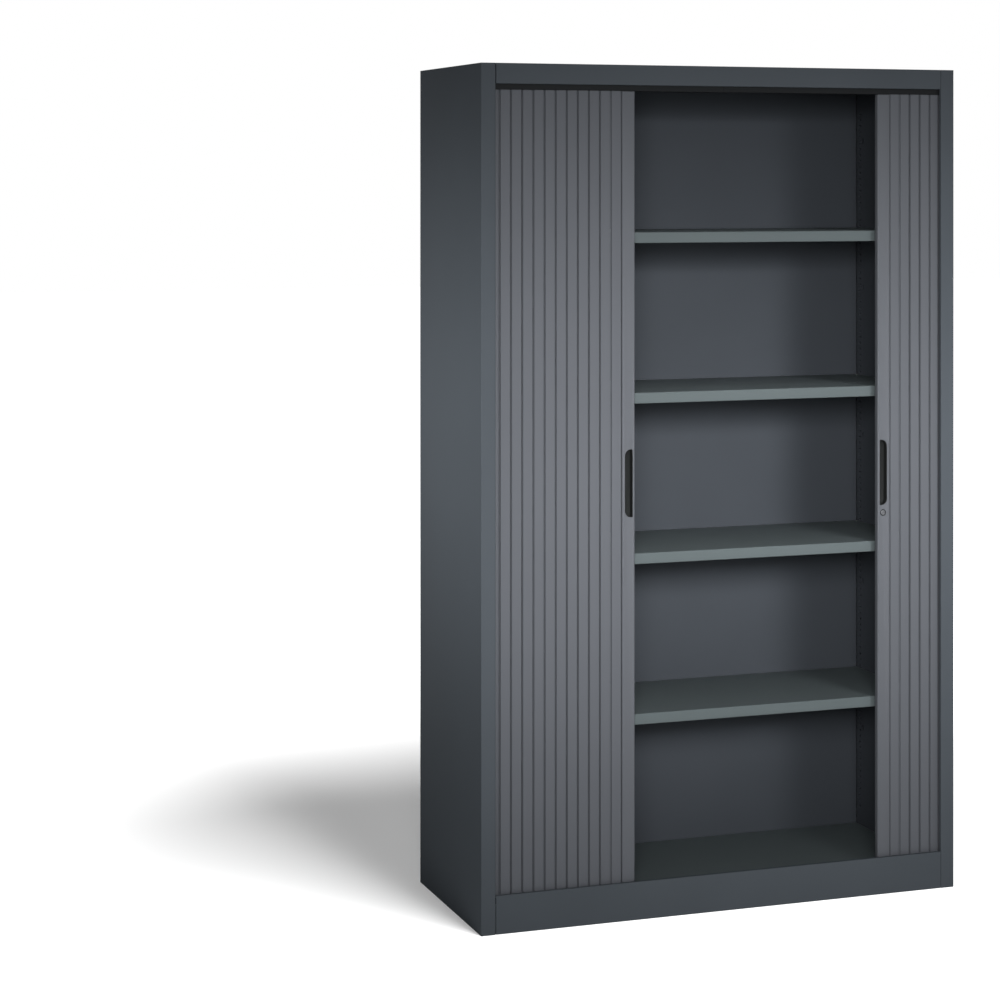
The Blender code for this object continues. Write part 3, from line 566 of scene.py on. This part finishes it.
def refined(node, name, material, edge_radius, segments=2, merge=0.00002):
    """A merged copy of a CAD node with its edges broken and its round faces shaded smooth."""
    mesh = frame["nodes"][node].data.copy()
    shape = bmesh.new()
    shape.from_mesh(mesh)
    bmesh.ops.remove_doubles(shape, verts=shape.verts, dist=merge)
    bmesh.ops.dissolve_limit(
        shape, angle_limit=math.radians(FLAT_ANGLE), verts=shape.verts, edges=shape.edges
    )
    shape.to_mesh(mesh)
    shape.free()
    mesh.materials.clear()
    mesh.materials.append(material)
    copy = bpy.data.objects.new(name, mesh)
    bpy.context.scene.collection.objects.link(copy)
    if edge_radius:
        soften(copy, edge_radius, segments)
    return stand_for(settle(copy, name, outward=False), node)


top_sheet = refined("top_panel", "top_sheet", body_coat, 0.0002, 1)
top_fill = soft_box("top_fill", (0, 0.2, 3.6), (0, 0, HIGH.z), (1.6, 1.0), TOP_FILL_POWER)
lit_top = bpy.data.collections.new("lit_top")
lit_top.objects.link(top_sheet)
top_fill.light_linking.receiver_collection = lit_top
refined("back_panel", "back_sheet", body_coat, 0.0002, 1)

# Shelves
# Four lift-out shelves of the same sheet, folded down 25 mm at the front and the back and
# turned under, coated a shade lighter and greener than the body. Each lies on four
# zinc-plated clips hooked into the walls.
SHELF_RETURN = 0.0120
shelf_coat = coat("shelf_powder_coat", (0.092, 0.110, 0.114), 0.45, specular=0.06)
zinc = coat("zinc_plate", (0.40, 0.41, 0.42), 0.38, metallic=1.0, grain=300, depth=0.00002)
for number in range(1, 5):
    node = f"shelf_{number}"
    low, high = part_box(node)
    profile = [
        (low.x, high.y - SHELF_RETURN, low.z),
        (low.x, high.y, low.z),
        (low.x, high.y, high.z),
        (low.x, low.y, high.z),
        (low.x, low.y, low.z),
        (low.x, low.y + SHELF_RETURN, low.z),
    ]
    board = folded(f"{node}_sheet", profile, (high.x - low.x, 0, 0), shelf_coat)
    stand_for(board, node)
    for end in ("front", "rear"):
        for side in ("left", "right"):
            clip = f"{node}_clip_{end}_{side}"
            refined(clip, f"{clip}_finish", zinc, 0.0003)

# Levelling feet
# Round glides of black polyamide, each on a threaded stem. They are screwed up through the
# floor tray near its corners, so that the cabinet can be stood level.
foot_plastic = coat("foot_plastic", (0.018, 0.019, 0.020), 0.55, grain=500)
for end in ("front", "rear"):
    for side in ("left", "right"):
        node = f"levelling_foot_{end}_{side}"
        refined(node, f"{node}_finish", foot_plastic, 0.0006)

# Tracks
# Black extruded plastic strips, bent round the front and rear corners, with a groove for the
# slats. The lower ones lie on the floor tray and the upper ones hang under the ceiling tray.
track_plastic = coat("track_plastic", (0.013, 0.014, 0.015), 0.5, grain=700)
for side in ("left", "right"):
    for height in ("lower", "upper"):
        node = f"{height}_track_{side}"
        refined(node, f"{node}_finish", track_plastic, 0)

# Curtains
# Each door is a curtain of plastic slats joined edge to edge by film hinges. Every slat is
# nearly flat, with rounded shoulders and a narrow groove beside it, and runs in the tracks.
# The two slats on the rail ride on the door and the slats round the bend on the cabinet; the front
# slats between them stand where they are at rest.
SLAT_PITCH = 0.0270
SLAT_COUNT = 20
SLAT_HEIGHT_OUT = 0.0044
SLAT_SHOULDER_OUT = 0.0033
SLAT_INNER = 0.0028
HINGE_OUT = 0.0010
HINGE_IN = 0.0004
GROOVE_SHARE = 0.052
SHOULDER_CURVE = ((0.006, 0.0008), (0.016, 0.0003), (0.045, 0.0))
CROWN_SHARE = 0.29
INNER_EDGE_SHARE = 0.1
RAIL_SEAM = {-1: 0.0003, 1: 0.0018}
FOLDED_WIDTH = 0.0006
POST_OVERLAP = 0.004
POCKET_START = 0.0030
BEND_REACH = 0.0547
PITCH_SLACK = 0.2
WELD = 0.000001
SLAT_SMOOTH_ANGLE = 28
SLAT_COLOUR = (0.100, 0.106, 0.119)
TRACK_INSET = 0.0145
BEND_RADIUS = 0.0320
BEND_STEPS = 12
slat_plastic = coat("slat_plastic", SLAT_COLOUR, 0.50, grain=1400, depth=0.00003, cloud=0.04)

slat_tree, given, result = new_tree(
    "slat_run",
    (
        ("Track", "NodeSocketObject"),
        ("Bend radius", "NodeSocketFloat"),
        ("Bend steps", "NodeSocketInt"),
        ("First", "NodeSocketFloat"),
        ("Pitch", "NodeSocketFloat"),
        ("Width", "NodeSocketFloat"),
        ("Count", "NodeSocketInt"),
        ("Height", "NodeSocketFloat"),
        ("Finish", "NodeSocketMaterial"),
    ),
)
track = put(slat_tree, "GeometryNodeObjectInfo", Object=given["Track"])
track_line = put(slat_tree, "GeometryNodeMeshToCurve", Mesh=track.outputs["Geometry"])
track_path = put(
    slat_tree,
    "GeometryNodeFilletCurve",
    Curve=track_line.outputs["Curve"],
    Radius=given["Bend radius"],
)
track_path.mode = "POLY"
slat_tree.links.new(given["Bend steps"], track_path.inputs["Count"])
ring = put(slat_tree, "GeometryNodeMeshToCurve", Mesh=given["Geometry"])
foot_face = put(slat_tree, "GeometryNodeFillCurve", Curve=ring.outputs["Curve"])
foot_face.mode = "NGONS"
up = put(slat_tree, "ShaderNodeCombineXYZ", Z=given["Height"])
raised = put(
    slat_tree,
    "GeometryNodeExtrudeMesh",
    Mesh=foot_face.outputs["Mesh"],
    Offset=up.outputs["Vector"],
    Offset_Scale=1.0,
    Individual=False,
)
under = put(slat_tree, "GeometryNodeFlipFaces", Mesh=foot_face.outputs["Mesh"])
both = slat_tree.nodes.new("GeometryNodeJoinGeometry")
slat_tree.links.new(raised.outputs["Mesh"], both.inputs["Geometry"])
slat_tree.links.new(under.outputs["Mesh"], both.inputs["Geometry"])
slat = put(
    slat_tree, "GeometryNodeMergeByDistance", Geometry=both.outputs["Geometry"], Distance=WELD
)
index = slat_tree.nodes.new("GeometryNodeInputIndex")
near_at = put(slat_tree, "ShaderNodeMath")
near_at.operation = "MULTIPLY_ADD"
slat_tree.links.new(index.outputs["Index"], near_at.inputs[0])
slat_tree.links.new(given["Pitch"], near_at.inputs[1])
slat_tree.links.new(given["First"], near_at.inputs[2])
far_at = put(slat_tree, "ShaderNodeMath")
far_at.operation = "ADD"
slat_tree.links.new(near_at.outputs[0], far_at.inputs[0])
slat_tree.links.new(given["Width"], far_at.inputs[1])
points = put(slat_tree, "GeometryNodeMeshLine", Count=given["Count"])
samples = []
for distance in (near_at, far_at):
    sample = put(slat_tree, "GeometryNodeSampleCurve", Curves=track_path.outputs["Curve"])
    sample.mode = "LENGTH"
    slat_tree.links.new(distance.outputs[0], sample.inputs["Length"])
    samples.append(sample)
chord = put(slat_tree, "ShaderNodeVectorMath")
chord.operation = "SUBTRACT"
slat_tree.links.new(samples[1].outputs["Position"], chord.inputs[0])
slat_tree.links.new(samples[0].outputs["Position"], chord.inputs[1])
span = put(slat_tree, "ShaderNodeVectorMath")
span.operation = "LENGTH"
slat_tree.links.new(chord.outputs["Vector"], span.inputs[0])
stretch = put(slat_tree, "ShaderNodeCombineXYZ", X=span.outputs["Value"], Y=1.0, Z=1.0)
turn = put(slat_tree, "FunctionNodeAxesToRotation")
turn.primary_axis = "X"
turn.secondary_axis = "Z"
slat_tree.links.new(chord.outputs["Vector"], turn.inputs[0])
turn.inputs[1].default_value = (0, 0, 1)
stood = put(
    slat_tree,
    "GeometryNodeSetPosition",
    Geometry=points.outputs["Mesh"],
    Position=samples[0].outputs["Position"],
)
slats = put(
    slat_tree,
    "GeometryNodeInstanceOnPoints",
    Points=stood.outputs["Geometry"],
    Instance=slat.outputs["Geometry"],
    Rotation=turn.outputs["Rotation"],
    Scale=stretch.outputs["Vector"],
)
real = put(slat_tree, "GeometryNodeRealizeInstances", Geometry=slats.outputs["Instances"])
finished = put(
    slat_tree, "GeometryNodeSetMaterial", Geometry=real.outputs["Geometry"], Material=given["Finish"]
)
slat_tree.links.new(finished.outputs["Geometry"], result)


def slat_section(outward):
    """Ring of a slat's cross-section: share of its width from the rail side, and depth."""
    half = [(0.0, HINGE_OUT), (GROOVE_SHARE, HINGE_OUT)]
    half += [(GROOVE_SHARE + share, SLAT_SHOULDER_OUT - drop) for share, drop in SHOULDER_CURVE]
    half.append((CROWN_SHARE, (SLAT_HEIGHT_OUT * 3 + SLAT_SHOULDER_OUT) / 4))
    outer = half + [(0.5, SLAT_HEIGHT_OUT)] + [(1 - share, depth) for share, depth in reversed(half)]
    inner = [(1.0, HINGE_IN), (1 - GROOVE_SHARE, HINGE_IN), (1 - INNER_EDGE_SHARE, -SLAT_INNER)]
    inner += [(1 - share, depth) for share, depth in reversed(inner)]
    return [(share, outward * depth) for share, depth in outer + inner]


def carry(piece):
    """Bake a slat's placement into its mesh."""
    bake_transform(piece)


for side, word in ((-1, "left"), (1, "right")):
    body = f"{word}_door"
    curtain_low, curtain_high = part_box(f"{word}_curtain")
    rail_low, rail_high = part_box(f"{word}_leading_rail")
    joint = next(j for j in frame["joints"] if j["child"] == body)
    opened, closed = -joint["range_m"][0], joint["range_m"][1]
    rail_edge = rail_low.x - LOW.x if side < 0 else HIGH.x - rail_high.x
    first_edge = rail_edge - RAIL_SEAM[side]
    edges = [first_edge - SLAT_PITCH * k for k in range(SLAT_COUNT + 1)]
    front_count = sum(1 for place in edges[1:] if place > POST_WIDTH - POST_OVERLAP)

    corner_x = side * (HIGH.x - TRACK_INSET)
    corners = [
        (0, LOW.y + TRACK_INSET, curtain_low.z),
        (corner_x, LOW.y + TRACK_INSET, curtain_low.z),
        (corner_x, HIGH.y - TRACK_INSET, curtain_low.z),
        (0, HIGH.y - TRACK_INSET, curtain_low.z),
    ]
    lines = {}
    for title, count in (("bent", len(corners)), ("straight", 2)):
        line_mesh = bpy.data.meshes.new(f"{word}_{title}_line")
        line_mesh.from_pydata(corners[:count], [(i, i + 1) for i in range(count - 1)], [])
        lines[title] = bpy.data.objects.new(line_mesh.name, line_mesh)
        bpy.context.scene.collection.objects.link(lines[title])

    def slat_run(name, first_place, width, count=1, line="bent"):
        """Slats from an inset on the rail side, going away from the rail."""
        section = slat_section(side)
        mesh = bpy.data.meshes.new(name)
        ring_edges = [(i, (i + 1) % len(section)) for i in range(len(section))]
        mesh.from_pydata([(share, depth, 0) for share, depth in section], ring_edges, [])
        host = bpy.data.objects.new(name, mesh)
        bpy.context.scene.collection.objects.link(host)
        values = {
            "Track": lines[line],
            "Bend radius": BEND_RADIUS,
            "Bend steps": BEND_STEPS,
            "First": HIGH.x - first_place,
            "Pitch": SLAT_PITCH,
            "Width": width,
            "Count": count,
            "Height": curtain_high.z - curtain_low.z,
            "Finish": slat_plastic,
        }
        run_tree(host, slat_tree, values)
        piece = settle(host, name, SLAT_SMOOTH_ANGLE)
        return piece

    lead = slat_run(f"{word}_slats_on_rail", edges[0], SLAT_PITCH - FOLDED_WIDTH, 2)
    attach(lead, body)
    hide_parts(f"{word}_curtain")

    # each slat of the front run: its two edges at rest, the share of the door's way that its
    # near edge goes, and where that edge is when the door is closed
    rows = []
    for k in range(front_count):
        near = edges[k + 1] + FOLDED_WIDTH
        weight = 1.0 if k < 2 else (near - POCKET_START) / opened
        rows.append([near, edges[k], weight, near + closed * weight])
    closed_ends = [row[3] for row in rows] + [BEND_REACH]
    for k in range(2, front_count):
        near, far, near_weight, closed_near = rows[k]
        gap = closed_ends[k - 1] - closed_near
        share = gap / math.ceil(gap / SLAT_PITCH - PITCH_SLACK)
        piece = slat_run(f"{word}_slat_{k + 1}", far, far - near)
        carry(piece)
    # slats folded thin at rest, side by side at the near edge of each front slat, as many as its gap
    # at the closed door would take
    for k in range(1, front_count):
        near, far, near_weight, closed_near = rows[k]
        gap = closed_near - closed_ends[k + 1]
        count = math.ceil(gap / SLAT_PITCH - PITCH_SLACK)
        fillers = count - 1 if k + 1 < front_count else count
        share = gap / count
        fold = FOLDED_WIDTH / max(fillers, 1)
        for step in range(fillers):
            fold_far = near - fold * step
            fold_near = fold_far - fold
            near_weight = (closed_near - share * (step + 1) - fold_near) / closed
            name = f"{word}_folded_slat_{k + 1}_{step + 1}"
            piece = slat_run(name, fold_far, fold, line="straight")
            carry(piece)
    piece = slat_run(f"{word}_slat_{front_count + 1}", edges[front_count], SLAT_PITCH)
    carry(piece)
    hidden_count = SLAT_COUNT - front_count - 1
    hidden = slat_run(f"{word}_slats_round_bend", edges[front_count + 1], SLAT_PITCH, hidden_count)
    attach(hidden, "cabinet")
    for line_object in lines.values():
        bpy.data.objects.remove(line_object, do_unlink=True)

# Leading rails, grips and guide shoes
# A drawn tube closes each curtain's free edge, painted in the slats' colour. A black moulded
# cup for the fingers is let into it, and black glides plugged into its ends run in the tracks.
rail_coat = coat("rail_coat", (0.105, 0.111, 0.124), 0.50, grain=1200, depth=0.00003, cloud=0.04)
grip_plastic = coat("grip_plastic", (0.014, 0.015, 0.015), 0.48, grain=600)
for side in ("left", "right"):
    refined(f"{side}_leading_rail", f"{side}_rail_finish", rail_coat, 0.0009)
    refined(f"{side}_grip", f"{side}_grip_finish", grip_plastic, 0.0004)
    for height in ("lower", "upper"):
        node = f"{side}_{height}_shoe"
        refined(node, f"{node}_finish", foot_plastic, 0.0004)

# Lock
# A nickel-plated cylinder through the right rail, in a black moulded collar, turns a
# zinc-plated hooked cam, which holds the angle keeper on the left rail.
nickel = coat("nickel_plate", (0.085, 0.088, 0.094), 0.50, metallic=1.0, grain=400, depth=0.00002)
refined("lock_cylinder", "lock_cylinder_finish", nickel, 0.0004)
COLLAR_SECTION = (
    (0.0064, 0.0005),
    (0.0077, 0.0005),
    (0.0077, -0.0006),
    (0.0073, -0.0010),
    (0.0064, -0.0010),
)
COLLAR_STEPS = 48
lock_low, lock_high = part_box("lock_cylinder")
lock_centre = (lock_low + lock_high) / 2
rail_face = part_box("right_leading_rail")[0].y
collar_mesh = bpy.data.meshes.new("lock_collar")
collar_shape = bmesh.new()
rings = []
for step in range(COLLAR_STEPS):
    angle = 2 * math.pi * step / COLLAR_STEPS
    rings.append([
        collar_shape.verts.new((
            lock_centre.x + radius * math.cos(angle),
            rail_face + depth,
            lock_centre.z + radius * math.sin(angle),
        ))
        for radius, depth in COLLAR_SECTION
    ])
for step, ring_points in enumerate(rings):
    following = rings[(step + 1) % COLLAR_STEPS]
    for corner in range(len(COLLAR_SECTION)):
        beside = (corner + 1) % len(COLLAR_SECTION)
        collar_shape.faces.new(
            (ring_points[corner], ring_points[beside], following[beside], following[corner])
        )
collar_shape.to_mesh(collar_mesh)
collar_shape.free()
collar_mesh.materials.append(grip_plastic)
collar = bpy.data.objects.new("lock_collar", collar_mesh)
bpy.context.scene.collection.objects.link(collar)
collar = settle(collar, "lock_collar")
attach(collar, "right_door")
refined("lock_cam", "lock_cam_finish", zinc, 0.0003)
refined("lock_keeper", "lock_keeper_finish", zinc, 0.0002)
